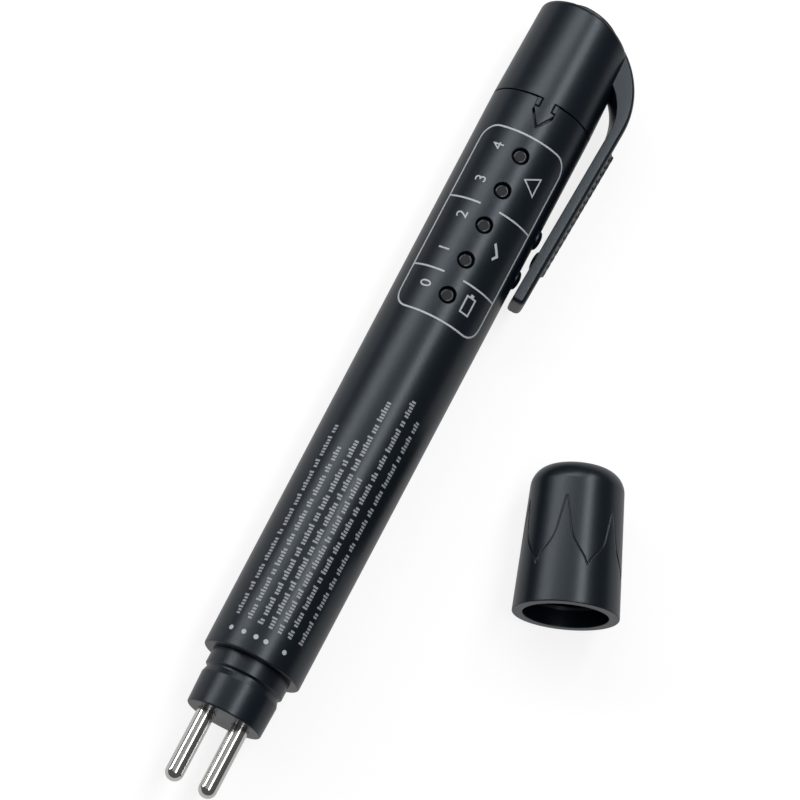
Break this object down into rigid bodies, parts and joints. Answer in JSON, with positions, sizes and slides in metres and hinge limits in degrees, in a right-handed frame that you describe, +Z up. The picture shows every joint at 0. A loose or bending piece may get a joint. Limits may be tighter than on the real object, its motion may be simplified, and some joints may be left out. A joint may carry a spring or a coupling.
{
  "type": "brake fluid test pen",
  "caption": "Pen-shaped brake fluid tester: round barrel, bare probe pins, row of lamps, pull-off cap with spring clip and push button, loose probe cover.",
  "frame": {"origin": "on the surface that the pen lies on, under the middle of the outline of the pen and its cover", "axes": "+X along the pen from the probe to the cap's end, +Z up through the row of lamps, so the clip is on the -Y side"},
  "size_m": [0.1524, 0.0604, 0.0185],
  "materials": {
    "barrel_plastic": "fine spark-eroded satin, blue-black",
    "nose_plastic": "satin, blue-black",
    "cap_plastic": "fine spark-eroded satin, blue-black",
    "clip_plastic": "satin, dark grey",
    "cover_plastic": "satin, blue-black",
    "button_plastic": "satin, black",
    "pin_nickel": "bright nickel plate",
    "contact_steel": "nickel-plated strip",
    "spring_steel": "nickel-plated wire",
    "lamp_lens": "smoked epoxy, unlit",
    "board_laminate": "green solder mask",
    "chip_resin": "moulded black resin",
    "coil_ferrite": "sintered ferrite",
    "capacitor_can": "drawn can",
    "carrier_plastic": "satin, grey",
    "battery_steel": "plated can",
    "battery_wrap": "plain printed wrap"
  },
  "bodies": {
    "barrel": {"barrel": "barrel_plastic", "nose": "nose_plastic", "probe_pin_right": "pin_nickel", "probe_pin_left": "pin_nickel", "pin_contact_right": "contact_steel", "pin_contact_left": "contact_steel", "circuit_board": "board_laminate", "lamp_1": "lamp_lens", "lamp_2": "lamp_lens", "lamp_3": "lamp_lens", "lamp_4": "lamp_lens", "lamp_5": "lamp_lens", "lamp_resistor_1": "chip_resin", "lamp_resistor_2": "chip_resin", "lamp_resistor_3": "chip_resin", "lamp_resistor_4": "chip_resin", "lamp_resistor_5": "chip_resin", "controller": "chip_resin", "supply_chip": "chip_resin", "supply_coil": "coil_ferrite", "supply_capacitor": "capacitor_can", "circuit_carrier": "carrier_plastic", "battery_can": "battery_steel", "battery_jacket": "battery_wrap", "positive_contact": "contact_steel", "ground_strip": "contact_steel"},
    "end_cap": {"end_cap": "cap_plastic"},
    "clip": {"clip": "clip_plastic"},
    "push_button": {"push_button": "button_plastic", "contact_plate": "contact_steel", "battery_spring": "spring_steel"},
    "probe_cover": {"probe_cover": "cover_plastic"}
  },
  "joints": [
    {"name": "cap_pull", "type": "slide", "parent": "barrel", "child": "end_cap", "axis": [1, 0, 0], "range_m": [0, 0.03]},
    {"name": "clip_flex", "type": "hinge", "parent": "end_cap", "child": "clip", "pos_m": [0.07287, 0.01304, 0.00927], "axis": [0, 0, 1], "range_deg": [0, 4], "stiffness_Nm_per_rad": 0.1, "springref_deg": -1.15},
    {"name": "button_press", "type": "slide", "parent": "end_cap", "child": "push_button", "axis": [-1, 0, 0], "range_m": [0, 0.0008], "stiffness_N_per_m": 200, "springref_m": -0.002, "deforming": ["battery_spring"]},
    {"name": "cover_slide", "type": "slide", "parent": "barrel", "child": "probe_cover", "axis": [-0.9373, -0.3486, 0], "range_m": [0, 0.03]}
  ]
}
